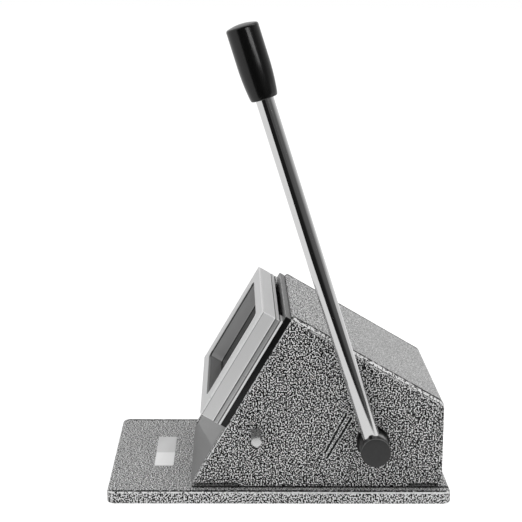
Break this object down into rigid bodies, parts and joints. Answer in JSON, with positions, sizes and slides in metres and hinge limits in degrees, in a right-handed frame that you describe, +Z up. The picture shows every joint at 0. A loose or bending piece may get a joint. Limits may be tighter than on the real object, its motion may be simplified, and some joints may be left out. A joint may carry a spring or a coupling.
{
  "type": "bench card cutter",
  "caption": "Bench cutter with a side lever that drives a card shaped punch out through a sloped die and window frame.",
  "frame": {"origin": "middle of the base plate's underside, on the surface that the cutter stands on", "axes": "+Z up; -Y is the front, which the sloped window faces; +X is the side with the lever"},
  "size_m": [0.1466, 0.198, 0.2739],
  "materials": {
    "hammer_paint": "silver and black hammer finish enamel",
    "plain_grey_paint": "satin grey enamel",
    "satin_plate": "satin nickel plated steel",
    "ground_steel": "finely ground tool steel",
    "bright_strip": "bright steel strip",
    "black_oxide": "blackened steel",
    "bronze": "oiled bearing bronze",
    "pin_steel": "ground steel pin",
    "turned_steel": "turned and milled steel",
    "cam_steel": "hardened steel",
    "punch_steel": "hardened and ground tool steel",
    "spring_steel": "oiled spring wire",
    "screw_steel": "dark alloy steel screws",
    "hub_paint": "dark grey enamel",
    "chrome": "polished chrome plate",
    "grip_plastic": "glossy black moulded plastic"
  },
  "bodies": {
    "housing": {"base_plate": "hammer_paint", "base_screws": "screw_steel", "side_plate_right": "hammer_paint", "side_plate_left": "hammer_paint", "top_cover": "hammer_paint", "cover_screws": "screw_steel", "front_panel": "plain_grey_paint", "panel_screws": "screw_steel", "guide_plate": "black_oxide", "guide_screws": "screw_steel", "slot_spacer": "bright_strip", "die_plate": "ground_steel", "window_frame": "satin_plate", "stack_screws": "screw_steel", "shaft_bush_right": "black_oxide", "shaft_bush_left": "black_oxide", "stop_pin": "pin_steel", "tie_bar": "turned_steel", "tie_bar_screw": "screw_steel", "guide_pillar_1": "pin_steel", "guide_pillar_2": "pin_steel", "guide_pillar_3": "pin_steel", "guide_pillar_4": "pin_steel", "return_spring_1": "spring_steel", "return_spring_2": "spring_steel", "return_spring_3": "spring_steel", "return_spring_4": "spring_steel"},
    "lever": {"cam_shaft": "turned_steel", "cam_right": "cam_steel", "cam_left": "cam_steel", "cam_pins": "screw_steel", "retaining_ring": "black_oxide", "lever_hub": "hub_paint", "lever_rod": "chrome", "lever_grip": "grip_plastic"},
    "ram": {"punch": "punch_steel", "ram_plate": "turned_steel", "thrust_block": "turned_steel", "wear_pad_right": "punch_steel", "wear_pad_left": "punch_steel", "ram_screws": "screw_steel", "ram_bush_1": "bronze", "ram_bush_2": "bronze", "ram_bush_3": "bronze", "ram_bush_4": "bronze"}
  },
  "joints": [
    {"name": "lever_turn", "type": "hinge", "parent": "housing", "child": "lever", "pos_m": [0, 0.05397, 0.03438], "axis": [1, 0, 0], "range_deg": [0, 60]},
    {"name": "ram_slide", "type": "slide", "parent": "housing", "child": "ram", "axis": [0, -0.866, 0.5], "range_m": [0, 0.00587], "stiffness_N_per_m": 8000, "springref_m": -0.004, "deforming": ["return_spring_1", "return_spring_2", "return_spring_3", "return_spring_4"]}
  ],
  "couplings": [
    {"joint": "ram_slide", "follows": "lever_turn", "m_per_rad": 0.0056}
  ]
}
